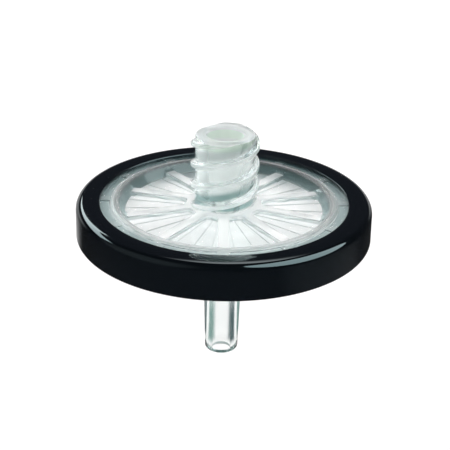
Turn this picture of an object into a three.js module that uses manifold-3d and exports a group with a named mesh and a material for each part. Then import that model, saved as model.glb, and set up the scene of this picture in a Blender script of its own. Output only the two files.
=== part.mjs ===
// A 25 mm class disc syringe filter, standing on its outlet tip with its axis on +Z.
// Two clear moulded shells clamp a membrane disc, and a black ring is moulded over their rims.
// The inlet on top is a female Luer lock, and the outlet below is a male Luer slip.
// Units are millimetres. The origin is the centre of the outlet tip's end face.

import * as THREE from 'three';
import { mergeVertices } from 'three/addons/utils/BufferGeometryUtils.js';
import Module from 'manifold-3d';

const wasm = await Module();
wasm.setup();

// ---- Driving dimensions ----

// Black ring moulded over the rim
const RING_RADIUS = 17.1;
const RING_HEIGHT = 4.05;
const RING_DRAFT = 0.08;
const RING_WIDTH = 2.75;
const RING_WALL = 1.45;
const RING_UPPER_LIP = 1.0;
const RING_LOWER_LIP = 0.9;
const RING_TOP_ROUND = 0.8;
const RING_BOTTOM_ROUND = 0.2;
const RING_LIP_ROUND = 0.15;

// Shells and membrane gripped by the ring
const INLET_FLANGE_THICKNESS = 1.2;
const CHAMBER_STEP = 0.3;
const CHAMBER_DEPTH = 0.25;
const MEMBRANE_PINCH = 0.7;
const MEMBRANE_THICKNESS = 0.15;
const FIT_CLEARANCE = 0.05;

// Relief on the outer face of each shell
const INLET_WINDOW_THICKNESS = 0.7;
const INLET_WINDOW_RISE = 0.3;
const INLET_RIB_HEIGHT = 0.6;
const OUTLET_WINDOW_THICKNESS = 0.5;
const OUTLET_WINDOW_RISE = 0.1;
const OUTLET_RIB_HEIGHT = 0.35;
const RIB_COUNT = 10;
const RIB_WIDTH = 1.2;
const HUB_WIDTH = 0.88;
const HUB_CORNER = 0.6;
const WINDOW_EDGE_WIDTH = 0.75;
const BEAD_WIDTH = 1.05;
const BEAD_RECESS = 0.1;
const BEAD_CROWN = 0.12;
const MOAT_WIDTH = 1.1;
const MOAT_DEPTH = 0.42;
const BRIDGE_COUNT = 12;
const BRIDGE_WIDTH = 1.4;

// Flow ribs inside the two chambers
const INLET_FLOW_RIBS = 30;
const OUTLET_SUPPORT_RIBS = 20;
const FLOW_RIB_WIDTH = 0.4;
const FLOW_RIB_SETBACK = 1.5;

// Inlet: female Luer lock with a double-start right-hand thread
const INLET_HEIGHT = 7.9;
const INLET_RIM_ROUND = 0.2;
const INLET_MOUTH_RADIUS = 2.14;
const INLET_TAPER_DEPTH = 7.5;
const INLET_BORE_RADIUS = 1.1;
const LUER_TAPER = 0.06;
const THREAD_RADIUS = 3.95;
const THREAD_DEPTH = 0.53;
const THREAD_LEAD = 5.0;
const THREAD_STARTS = 2;
const THREAD_CREST_WIDTH = 0.45;
const THREAD_ROOT_WIDTH = 1.0;
const THREAD_ROOTING = 0.2;
const THREAD_EXIT_ANGLE = 79;

// Outlet: male Luer slip below a conical hub
const OUTLET_LENGTH = 15.95;
const OUTLET_TIP_RADIUS = 2.0;
const OUTLET_TIP_ROUND = 0.35;
const OUTLET_CONE_LENGTH = 10.0;
const OUTLET_BORE_RADIUS = 1.05;
const OUTLET_MOUTH_CHAMFER = 0.3;
const OUTLET_FOOT_RADIUS = 4.1;
const OUTLET_SHOULDER_RADIUS = 2.9;

// Facets
const DISC_SEGMENTS = 60;
const LUER_SEGMENTS = 40;
const ROUND_STEPS = 4;
const THREAD_STEP = 9;

// ---- Levels and radii that follow from them ----

const ringBottom = OUTLET_LENGTH;
const ringTop = ringBottom + RING_HEIGHT;
const lowerLipTop = ringBottom + RING_LOWER_LIP;
const upperLipBottom = ringTop - RING_UPPER_LIP;

const ringFootRadius = RING_RADIUS + RING_DRAFT;
const ringLipRadius = RING_RADIUS - RING_WIDTH;
const cavityRadius = RING_RADIUS - RING_WALL;
const flangeRadius = cavityRadius - FIT_CLEARANCE;
const shellRadius = ringLipRadius - FIT_CLEARANCE;
const beadOuterRadius = ringLipRadius - MOAT_WIDTH;
const beadInnerRadius = beadOuterRadius - BEAD_WIDTH;
const beadMiddleRadius = (beadInnerRadius + beadOuterRadius) / 2;
const windowRimRadius = beadInnerRadius - WINDOW_EDGE_WIDTH;
const inletBodyRadius = THREAD_RADIUS - THREAD_DEPTH;
const hubRadius = inletBodyRadius + HUB_WIDTH;
const chamberRadius = beadInnerRadius - CHAMBER_STEP;
const membraneRadius = chamberRadius + MEMBRANE_PINCH;

const inletFlangeTop = upperLipBottom - FIT_CLEARANCE;
const inletFlangeBottom = inletFlangeTop - INLET_FLANGE_THICKNESS;
const outletFlangeTop = inletFlangeBottom - FIT_CLEARANCE;
const outletFlangeBottom = lowerLipTop + FIT_CLEARANCE;
const membraneTop = outletFlangeTop;
const membraneBottom = membraneTop - MEMBRANE_THICKNESS;
const membraneSeat = membraneBottom - FIT_CLEARANCE;

// Each shell's relief, with heights measured from its chamber face outwards.
const inletRelief = {
  chamber: inletFlangeBottom + CHAMBER_DEPTH,
  face: ringTop,
  direction: 1,
  window: INLET_WINDOW_THICKNESS,
  rise: INLET_WINDOW_RISE,
  ribHeight: INLET_RIB_HEIGHT,
};
const outletRelief = {
  chamber: membraneSeat - CHAMBER_DEPTH,
  face: ringBottom,
  direction: -1,
  window: OUTLET_WINDOW_THICKNESS,
  rise: OUTLET_WINDOW_RISE,
  ribHeight: OUTLET_RIB_HEIGHT,
};
const outletHubLevel = outletRelief.chamber - OUTLET_WINDOW_THICKNESS - OUTLET_WINDOW_RISE;

const inletRim = ringTop + INLET_HEIGHT;
const outletConeTop = OUTLET_CONE_LENGTH;
const outletConeTopRadius = OUTLET_TIP_RADIUS + OUTLET_CONE_LENGTH * LUER_TAPER / 2;

// ---- Solids and geometries ----

function toSolid(geometry) {
  const bare = geometry.clone();
  bare.deleteAttribute('normal');
  bare.deleteAttribute('uv');
  const merged = mergeVertices(bare, 1e-5);
  const corners = merged.index.array;
  const triangles = [];
  for (let i = 0; i < corners.length; i += 3) {
    const [a, b, c] = corners.slice(i, i + 3);
    if (a !== b && b !== c && c !== a) triangles.push(a, b, c);
  }
  return new wasm.Manifold(new wasm.Mesh({
    numProp: 3,
    vertProperties: new Float32Array(merged.attributes.position.array),
    triVerts: new Uint32Array(triangles),
  }));
}

function toGeometry(solid) {
  const mesh = solid.getMesh();
  const geometry = new THREE.BufferGeometry();
  geometry.setAttribute('position', new THREE.BufferAttribute(mesh.vertProperties, 3));
  geometry.setIndex(new THREE.BufferAttribute(mesh.triVerts, 1));
  geometry.computeVertexNormals();
  return geometry;
}

// A closed profile of [radius, height] points, turned about the Z axis.
function revolve(profile, segments) {
  const points = profile.map(([radius, height]) => new THREE.Vector2(radius, height));
  const geometry = new THREE.LatheGeometry(points, segments);
  geometry.rotateX(Math.PI / 2);
  return toSolid(geometry);
}

// Points on a quarter or other arc of a profile, its angles in degrees from the outward radius.
function arc(centreRadius, centreHeight, radius, from, to, steps = ROUND_STEPS) {
  const points = [];
  for (let i = 0; i <= steps; i += 1) {
    const angle = THREE.MathUtils.degToRad(from + (to - from) * i / steps);
    points.push([centreRadius + radius * Math.cos(angle), centreHeight + radius * Math.sin(angle)]);
  }
  return points;
}

function prism(shape, bottom, top, curveSegments = ROUND_STEPS) {
  const geometry = new THREE.ExtrudeGeometry(shape, {
    depth: top - bottom,
    bevelEnabled: false,
    curveSegments,
  });
  geometry.translate(0, 0, bottom);
  return geometry;
}

// A bar lying along a radius, centred on it.
function radialBar(innerRadius, outerRadius, width, bottom, top) {
  const geometry = new THREE.BoxGeometry(outerRadius - innerRadius, width, top - bottom);
  geometry.translate((innerRadius + outerRadius) / 2, 0, (bottom + top) / 2);
  return geometry;
}

// Copies of one geometry spaced evenly about the Z axis, the first at the given angle in degrees.
function around(geometry, count, firstAngle) {
  const copies = [];
  for (let i = 0; i < count; i += 1) {
    const angle = THREE.MathUtils.degToRad(firstAngle + 360 * i / count);
    copies.push(toSolid(geometry.clone().rotateZ(angle)));
  }
  return wasm.Manifold.union(copies);
}

// ---- Shared relief of the two shells ----

// The space between two ribs: straight sides beside the ribs, rounded corners at the hub.
function pocketShape() {
  const halfPitch = Math.PI / RIB_COUNT;
  const besideRib = (radius, side, inset = 0) => {
    const angle = side * (halfPitch - Math.asin(RIB_WIDTH / 2 / radius) - inset / radius);
    return new THREE.Vector2(radius * Math.cos(angle), radius * Math.sin(angle));
  };
  const shape = new THREE.Shape();
  const sweep = (from, to) => {
    const start = Math.atan2(from.y, from.x);
    const end = Math.atan2(to.y, to.x);
    shape.absarc(0, 0, from.length(), start, end, end < start);
  };
  const rimStart = besideRib(beadMiddleRadius, -1);
  const rimEnd = besideRib(beadMiddleRadius, 1);
  const hubStart = besideRib(hubRadius, 1, HUB_CORNER);
  const hubEnd = besideRib(hubRadius, -1, HUB_CORNER);
  const cornerStart = besideRib(hubRadius + HUB_CORNER, 1);
  const cornerEnd = besideRib(hubRadius + HUB_CORNER, -1);
  const startCorner = besideRib(hubRadius, 1);
  const endCorner = besideRib(hubRadius, -1);
  shape.moveTo(rimStart.x, rimStart.y);
  sweep(rimStart, rimEnd);
  shape.lineTo(cornerStart.x, cornerStart.y);
  shape.quadraticCurveTo(startCorner.x, startCorner.y, hubStart.x, hubStart.y);
  sweep(hubStart, hubEnd);
  shape.quadraticCurveTo(endCorner.x, endCorner.y, cornerEnd.x, cornerEnd.y);
  return shape;
}

// The window plate, ribs, bead, moat and bridges of one shell, above its chamber face.
// Heights are measured outwards from the chamber, then turned over for the outlet side.
function reliefSolid({ chamber, face, direction, window, rise, ribHeight }) {
  const depth = Math.abs(face - chamber);
  const hubWindow = window + rise;
  const beadShoulder = depth - BEAD_RECESS - BEAD_CROWN;
  const moatFloor = depth - MOAT_DEPTH;

  const plate = revolve([
    [0, 0],
    [shellRadius, 0],
    [shellRadius, moatFloor],
    [beadOuterRadius, moatFloor],
    [beadOuterRadius, beadShoulder],
    [beadMiddleRadius, depth - BEAD_RECESS],
    [beadInnerRadius, beadShoulder],
    [windowRimRadius, window],
    [hubRadius, hubWindow],
    [0, hubWindow],
  ], DISC_SEGMENTS);

  const ribPlate = revolve([
    [0, 0],
    [beadInnerRadius, 0],
    [beadInnerRadius, beadShoulder - FIT_CLEARANCE],
    [windowRimRadius, window + ribHeight],
    [hubRadius, hubWindow + ribHeight],
    [0, hubWindow + ribHeight],
  ], DISC_SEGMENTS);

  const pockets = around(prism(pocketShape(), 0, depth), RIB_COUNT, 90 + 180 / RIB_COUNT);
  const bridgeEnd = shellRadius - FIT_CLEARANCE;
  const bridge = radialBar(beadMiddleRadius, bridgeEnd, BRIDGE_WIDTH, 0, beadShoulder);
  const outward = ribPlate.subtract(pockets).add(plate).add(around(bridge, BRIDGE_COUNT, 90));
  const turned = direction > 0 ? outward : outward.mirror([0, 0, 1]);
  return turned.translate([0, 0, chamber]);
}

// Thin radial ribs on a chamber face that hold the membrane off it.
function flowRibs(count, firstAngle, boreRadius, bottom, top) {
  const outerEnd = chamberRadius + FLOW_RIB_WIDTH / 2;
  const rib = radialBar(boreRadius + FLOW_RIB_SETBACK, outerEnd, FLOW_RIB_WIDTH, bottom, top);
  return around(rib, count, firstAngle);
}

// ---- Inlet shell ----

// One thread start: its section is extruded along the turn, then wrapped round the axis.
// It starts past the rim and ends inside the window plate, so both ends are cut clean.
function threadStart(exitAngle) {
  const footRadius = inletBodyRadius - THREAD_ROOTING;
  const section = new THREE.Shape();
  section.moveTo(0, -THREAD_ROOT_WIDTH / 2);
  section.lineTo(THREAD_RADIUS - footRadius, -THREAD_CREST_WIDTH / 2);
  section.lineTo(THREAD_RADIUS - footRadius, THREAD_CREST_WIDTH / 2);
  section.lineTo(0, THREAD_ROOT_WIDTH / 2);
  const top = inletRim + THREAD_ROOT_WIDTH;
  const bottom = inletRelief.chamber + THREAD_ROOT_WIDTH / 2;
  const turn = 360 * (top - bottom) / THREAD_LEAD;
  const geometry = new THREE.ExtrudeGeometry(section, {
    depth: turn,
    steps: Math.ceil(turn / THREAD_STEP),
    bevelEnabled: false,
  });
  const topAngle = exitAngle + 360 * THREAD_ROOT_WIDTH / THREAD_LEAD;
  const position = geometry.attributes.position;
  for (let i = 0; i < position.count; i += 1) {
    const along = position.getZ(i);
    const radius = footRadius + position.getX(i);
    const angle = THREE.MathUtils.degToRad(topAngle - along);
    const height = top + position.getY(i) - THREAD_LEAD * along / 360;
    position.setXYZ(i, radius * Math.cos(angle), radius * Math.sin(angle), height);
  }
  return toSolid(geometry);
}

function inletThread() {
  const starts = [];
  for (let i = 0; i < THREAD_STARTS; i += 1) {
    starts.push(threadStart(THREAD_EXIT_ANGLE + 360 * i / THREAD_STARTS));
  }
  const belowRim = revolve([
    [0, inletRelief.chamber],
    [THREAD_RADIUS * 2, inletRelief.chamber],
    [THREAD_RADIUS * 2, inletRim],
    [0, inletRim],
  ], LUER_SEGMENTS);
  return wasm.Manifold.union(starts).intersect(belowRim);
}

function inletHousing() {
  const flange = revolve([
    [0, inletFlangeBottom],
    [flangeRadius, inletFlangeBottom],
    [flangeRadius, inletFlangeTop],
    [0, inletFlangeTop],
  ], DISC_SEGMENTS);
  const chamber = revolve([
    [0, inletFlangeBottom - 1],
    [chamberRadius, inletFlangeBottom - 1],
    [chamberRadius, inletRelief.chamber],
    [0, inletRelief.chamber],
  ], DISC_SEGMENTS);
  const body = revolve([
    [0, inletRelief.chamber],
    [inletBodyRadius, inletRelief.chamber],
    [inletBodyRadius, inletRim - INLET_RIM_ROUND],
    [inletBodyRadius - INLET_RIM_ROUND, inletRim],
    [0, inletRim],
  ], LUER_SEGMENTS);
  const taperEnd = inletRim - INLET_TAPER_DEPTH;
  const taperEndRadius = INLET_MOUTH_RADIUS - INLET_TAPER_DEPTH * LUER_TAPER / 2;
  const bore = revolve([
    [0, inletFlangeBottom - 1],
    [INLET_BORE_RADIUS, inletFlangeBottom - 1],
    [INLET_BORE_RADIUS, taperEnd],
    [taperEndRadius, taperEnd],
    [INLET_MOUTH_RADIUS, inletRim],
    [INLET_MOUTH_RADIUS, inletRim + 1],
    [0, inletRim + 1],
  ], LUER_SEGMENTS);
  const ribTop = inletRelief.chamber + FIT_CLEARANCE;
  const firstRib = 90 + 180 / INLET_FLOW_RIBS;
  const ribs = flowRibs(INLET_FLOW_RIBS, firstRib, INLET_BORE_RADIUS, inletFlangeBottom, ribTop);
  return flange.subtract(chamber)
    .add(reliefSolid(inletRelief))
    .add(ribs)
    .add(body)
    .add(inletThread())
    .subtract(bore);
}

// ---- Outlet shell ----

function outletHousing() {
  const flange = revolve([
    [0, outletFlangeBottom],
    [flangeRadius, outletFlangeBottom],
    [flangeRadius, outletFlangeTop],
    [0, outletFlangeTop],
  ], DISC_SEGMENTS);
  const chamber = revolve([
    [0, outletRelief.chamber],
    [chamberRadius, outletRelief.chamber],
    [chamberRadius, membraneSeat],
    [membraneRadius + FIT_CLEARANCE, membraneSeat],
    [membraneRadius + FIT_CLEARANCE, outletFlangeTop + 1],
    [0, outletFlangeTop + 1],
  ], DISC_SEGMENTS);
  const spigot = revolve([
    [0, 0],
    ...arc(OUTLET_TIP_RADIUS - OUTLET_TIP_ROUND, OUTLET_TIP_ROUND, OUTLET_TIP_ROUND, 270, 360),
    [outletConeTopRadius, outletConeTop],
    [OUTLET_SHOULDER_RADIUS, outletConeTop + OUTLET_SHOULDER_RADIUS - outletConeTopRadius],
    [OUTLET_FOOT_RADIUS, outletHubLevel],
    [OUTLET_FOOT_RADIUS, outletRelief.chamber],
    [0, outletRelief.chamber],
  ], LUER_SEGMENTS);
  const mouthRadius = OUTLET_BORE_RADIUS + OUTLET_MOUTH_CHAMFER;
  const bore = revolve([
    [0, -1],
    [mouthRadius, -1],
    [mouthRadius, 0],
    [OUTLET_BORE_RADIUS, OUTLET_MOUTH_CHAMFER],
    [OUTLET_BORE_RADIUS, outletFlangeTop],
    [0, outletFlangeTop],
  ], LUER_SEGMENTS);
  const ribFoot = outletRelief.chamber - FIT_CLEARANCE;
  const ribs = flowRibs(OUTLET_SUPPORT_RIBS, 90, OUTLET_BORE_RADIUS, ribFoot, membraneSeat);
  return flange.add(reliefSolid(outletRelief))
    .subtract(chamber)
    .add(ribs)
    .add(spigot)
    .subtract(bore);
}

// ---- Membrane and ring ----

function membrane() {
  return revolve([
    [0, membraneBottom],
    [membraneRadius, membraneBottom],
    [membraneRadius, membraneTop],
    [0, membraneTop],
  ], DISC_SEGMENTS);
}

// A C-shaped section that grips both flanges between its two lips.
function overmouldedRing() {
  const start = [ringLipRadius, lowerLipTop];
  const lipCentre = ringLipRadius + RING_LIP_ROUND;
  const footCentre = ringFootRadius - RING_BOTTOM_ROUND;
  const shoulderCentre = RING_RADIUS - RING_TOP_ROUND;
  return revolve([
    start,
    ...arc(lipCentre, ringBottom + RING_LIP_ROUND, RING_LIP_ROUND, 180, 270, 2),
    ...arc(footCentre, ringBottom + RING_BOTTOM_ROUND, RING_BOTTOM_ROUND, 270, 360, 2),
    ...arc(shoulderCentre, ringTop - RING_TOP_ROUND, RING_TOP_ROUND, 0, 90),
    ...arc(lipCentre, ringTop - RING_LIP_ROUND, RING_LIP_ROUND, 90, 180, 2),
    [ringLipRadius, upperLipBottom],
    [cavityRadius, upperLipBottom],
    [cavityRadius, lowerLipTop],
    start,
  ], DISC_SEGMENTS);
}

// ---- The assembly ----

const clearPlastic = new THREE.MeshStandardMaterial({
  color: 0xe4efec,
  roughness: 0.12,
  metalness: 0,
  transparent: true,
  opacity: 0.4,
});
const whiteMembrane = new THREE.MeshStandardMaterial({ color: 0xf7f7f4, roughness: 0.85, metalness: 0 });
const blackPlastic = new THREE.MeshStandardMaterial({ color: 0x0c0e12, roughness: 0.15, metalness: 0 });

const filter = new THREE.Group();

function addPiece(name, solid, material) {
  const mesh = new THREE.Mesh(toGeometry(solid), material);
  mesh.name = name;
  filter.add(mesh);
}

addPiece('inlet_housing', inletHousing(), clearPlastic);
addPiece('filter_membrane', membrane(), whiteMembrane);
addPiece('outlet_housing', outletHousing(), clearPlastic);
addPiece('overmoulded_ring', overmouldedRing(), blackPlastic);

export default filter;
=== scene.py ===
"""Fine forms and finishes of a disc syringe filter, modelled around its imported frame.

Each piece is drawn in millimetres and brought to metres when it is finished. Heights are
measured up from the end face of the outlet tip, and the axis of the disc is +Z.
"""

import logging
import math
from collections.abc import Callable
from dataclasses import dataclass
from enum import Enum
from functools import reduce

import bmesh
import bpy
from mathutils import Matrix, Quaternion, Vector


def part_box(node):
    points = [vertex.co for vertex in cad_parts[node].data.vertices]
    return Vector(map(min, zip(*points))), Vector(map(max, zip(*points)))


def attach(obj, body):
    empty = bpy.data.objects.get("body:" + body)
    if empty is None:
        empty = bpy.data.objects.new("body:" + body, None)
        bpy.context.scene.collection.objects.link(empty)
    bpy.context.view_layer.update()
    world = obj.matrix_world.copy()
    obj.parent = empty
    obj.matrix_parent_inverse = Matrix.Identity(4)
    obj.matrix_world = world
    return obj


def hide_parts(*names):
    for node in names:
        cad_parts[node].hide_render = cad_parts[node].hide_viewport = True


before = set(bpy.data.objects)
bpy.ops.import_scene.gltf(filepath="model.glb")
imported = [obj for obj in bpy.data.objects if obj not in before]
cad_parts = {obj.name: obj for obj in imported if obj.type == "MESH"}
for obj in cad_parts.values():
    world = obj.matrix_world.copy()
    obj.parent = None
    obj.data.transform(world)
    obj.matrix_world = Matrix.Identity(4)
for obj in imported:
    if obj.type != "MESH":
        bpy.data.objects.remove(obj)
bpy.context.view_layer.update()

MM = 0.001
TURN = 2 * math.pi
DISC_STEPS = 192
HOLE_STEPS = 48
MERGE = 1e-4
CONTACT = 0.02
CLEAR_SMOOTHING = 32
BLACK_SMOOTHING = 40
SHEET_SMOOTHING = 40
BODY = "root"

log = logging.getLogger("syringe_filter")

Colour = tuple[float, float, float]
Stretch = tuple[float, float]
WHITE: Colour = (1.0, 1.0, 1.0)


class Element(Enum):
    """The kind of mesh element that a pick selects."""

    VERTEX = "VERT"
    EDGE = "EDGE"
    FACE = "FACE"


class Slot(Enum):
    """The record's material slots."""

    CLEAR = "clear_plastic"
    MEMBRANE = "membrane"
    BLACK = "black_plastic"


# ---- Bench tools: each shapes the mesh at hand, in millimetres ----


@dataclass(frozen=True)
class Corner:
    """A corner of an outline: its distance from the axis, its height and its rounding."""

    radius: float
    height: float
    fillet: float = 0.0


def clear_selection() -> None:
    """Leaves edit mode and deselects every object."""
    if bpy.context.object and bpy.context.object.mode != "OBJECT":
        bpy.ops.object.mode_set(mode="OBJECT")
    bpy.ops.object.select_all(action="DESELECT")


def take_up(piece: bpy.types.Object) -> None:
    """Selects one piece alone and makes it the one that is worked on.

    Args:
        piece: The piece.
    """
    clear_selection()
    bpy.context.view_layer.objects.active = piece
    piece.select_set(True)


def pick(kind: Element, wanted: Callable[[object], bool]) -> None:
    """Selects the elements of the mesh in edit mode that pass a test, and no others.

    Args:
        kind: Whether vertices, edges or faces are tested.
        wanted: The test, which is given one bmesh element.
    """
    bpy.ops.mesh.select_mode(type=kind.value)
    bpy.ops.mesh.select_all(action="DESELECT")
    drawn = bmesh.from_edit_mesh(bpy.context.object.data)
    elements = {
        Element.VERTEX: drawn.verts,
        Element.EDGE: drawn.edges,
        Element.FACE: drawn.faces,
    }[kind]
    for element in elements:
        if wanted(element):
            element.select_set(True)
    drawn.select_flush_mode()
    bmesh.update_edit_mesh(bpy.context.object.data)


def mend_skin() -> None:
    """Merges doubled vertices of the mesh in edit mode and turns its faces outwards."""
    bpy.ops.mesh.select_all(action="SELECT")
    bpy.ops.mesh.remove_doubles(threshold=MERGE)
    bpy.ops.mesh.normals_make_consistent(inside=False)


def fillet_reach(before: Corner, corner: Corner, after: Corner) -> float:
    """Distance from a corner to where its rounding starts.

    Args:
        before: The corner before it in the outline.
        corner: The rounded corner.
        after: The corner after it.

    Returns:
        The length along each side that the rounding takes.
    """
    here = Vector((corner.radius, corner.height))
    side_a = Vector((before.radius, before.height)) - here
    side_b = Vector((after.radius, after.height)) - here
    return corner.fillet / math.tan(side_a.angle(side_b) / 2)


def trace(name: str, corners: list[Corner], fillet_steps: int = 6) -> bpy.types.Object:
    """Draws a closed outline in the XZ plane corner by corner, then rounds its corners.

    Args:
        name: The new piece's name.
        corners: The outline, in order, which closes on itself.
        fillet_steps: Segments in each rounding.

    Returns:
        The piece, left in edit mode as a loop of edges.
    """
    clear_selection()
    bpy.ops.mesh.primitive_plane_add(size=1.0)
    piece = bpy.context.object
    piece.name = name
    bpy.ops.object.mode_set(mode="EDIT")
    bpy.ops.mesh.select_mode(type=Element.VERTEX.value)
    bpy.ops.mesh.merge(type="CENTER")
    bpy.ops.transform.translate(value=(corners[0].radius, 0, corners[0].height))
    for here, there in zip(corners, corners[1:]):
        step = (there.radius - here.radius, 0, there.height - here.height)
        bpy.ops.mesh.extrude_vertices_move(TRANSFORM_OT_translate={"value": step})
    bpy.ops.mesh.select_all(action="SELECT")
    bpy.ops.mesh.edge_face_add()
    for index, corner in enumerate(corners):
        if corner.fillet == 0:
            continue
        after = corners[(index + 1) % len(corners)]
        reach = fillet_reach(corners[index - 1], corner, after)
        place = Vector((corner.radius, 0, corner.height))
        pick(Element.VERTEX, lambda vert: (vert.co - place).length < MERGE)
        bpy.ops.mesh.bevel(
            affect="VERTICES", offset=reach, segments=fillet_steps, clamp_overlap=False
        )
    bpy.ops.mesh.select_mode(type=Element.VERTEX.value)
    bpy.ops.mesh.select_all(action="SELECT")
    bpy.ops.mesh.delete(type="ONLY_FACE")
    return piece


def turned(name: str, corners: list[Corner], steps: int = DISC_STEPS) -> bpy.types.Object:
    """Turns an outline about the axis into a solid.

    Args:
        name: The new piece's name.
        corners: The outline.
        steps: Facets round the axis.

    Returns:
        The solid, in object mode.
    """
    piece = trace(name, corners)
    bpy.ops.mesh.select_all(action="SELECT")
    bpy.ops.mesh.spin(
        steps=steps, angle=TURN, center=(0, 0, 0), axis=(0, 0, 1), use_auto_merge=True
    )
    mend_skin()
    bpy.ops.object.mode_set(mode="OBJECT")
    return piece


def copy_round(piece: bpy.types.Object, count: int) -> None:
    """Repeats the whole mesh evenly about the axis, itself being the first copy.

    Args:
        piece: The piece to repeat.
        count: How many there are in the end.
    """
    take_up(piece)
    bpy.ops.object.mode_set(mode="EDIT")
    bpy.ops.mesh.select_all(action="SELECT")
    bpy.ops.mesh.spin(
        steps=count - 1,
        angle=TURN * (count - 1) / count,
        dupli=True,
        center=(0, 0, 0),
        axis=(0, 0, 1),
    )
    bpy.ops.mesh.select_all(action="SELECT")
    bpy.ops.mesh.normals_make_consistent(inside=False)
    bpy.ops.object.mode_set(mode="OBJECT")


def face_angle(piece: bpy.types.Object, degrees: float) -> None:
    """Turns a piece about the axis and settles the turn in its mesh.

    Args:
        piece: The piece to turn.
        degrees: The angle, counter-clockwise from above.
    """
    take_up(piece)
    piece.rotation_euler.z = math.radians(degrees)
    bpy.ops.object.transform_apply(location=True, rotation=True, scale=True)


def block(name: str, low: Vector, high: Vector) -> bpy.types.Object:
    """A block between two corners, left in edit mode to be shaped.

    Args:
        name: The new piece's name.
        low: Its lowest corner.
        high: Its highest corner.

    Returns:
        The block, in edit mode and selected all over.
    """
    clear_selection()
    bpy.ops.mesh.primitive_cube_add(size=1.0)
    piece = bpy.context.object
    piece.name = name
    bpy.ops.object.mode_set(mode="EDIT")
    bpy.ops.transform.resize(value=high - low, center_override=(0, 0, 0))
    bpy.ops.transform.translate(value=(low + high) / 2)
    return piece


def work(piece: bpy.types.Object, tool: bpy.types.Object, operation: str) -> None:
    """Joins or cuts a piece with another, which is used up.

    Args:
        piece: The piece that is kept.
        tool: The piece that is added or taken away.
        operation: UNION or DIFFERENCE.
    """
    take_up(piece)
    joint = piece.modifiers.new("joint", "BOOLEAN")
    joint.object = tool
    joint.operation = operation
    joint.solver = "EXACT"
    bpy.ops.object.modifier_apply(modifier=joint.name)
    bpy.data.objects.remove(tool)


def ease_edges(wanted: Callable[[object], bool], width: float, segments: int = 2) -> None:
    """Bevels the edges of the mesh in edit mode that pass a test.

    Args:
        wanted: The test, which is given one bmesh edge.
        width: How far the bevel reaches on each side.
        segments: Facets across the bevel.
    """
    pick(Element.EDGE, wanted)
    bpy.ops.mesh.bevel(affect="EDGES", offset=width, segments=segments, clamp_overlap=True)


def to_metres(piece: bpy.types.Object, smooth_below: float) -> None:
    """Brings a finished mesh to metres and smooths its shading below an angle.

    Args:
        piece: The piece, drawn in millimetres.
        smooth_below: Edges that turn by less than this many degrees are shaded smooth.
    """
    take_up(piece)
    piece.scale = (MM, MM, MM)
    bpy.ops.object.transform_apply(location=True, rotation=True, scale=True)
    bpy.ops.object.shade_smooth_by_angle(angle=math.radians(smooth_below))


# ---- Finishes ----


def toward(azimuth: float, elevation: float) -> Vector:
    """Turns two angles into a direction.

    Args:
        azimuth: Degrees from +X, counter-clockwise from above.
        elevation: Degrees above the horizon.

    Returns:
        The direction, of length 1.
    """
    round_axis, up = math.radians(azimuth), math.radians(elevation)
    across = math.cos(up)
    return Vector((math.cos(round_axis) * across, math.sin(round_axis) * across, math.sin(up)))


@dataclass(frozen=True)
class Patch:
    """A bright patch of the surroundings, in degrees.

    It starts at edge degrees from its middle and is full at core degrees.
    """

    azimuth: float
    elevation: float
    edge: float
    core: float
    strength: float = 1.0


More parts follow.
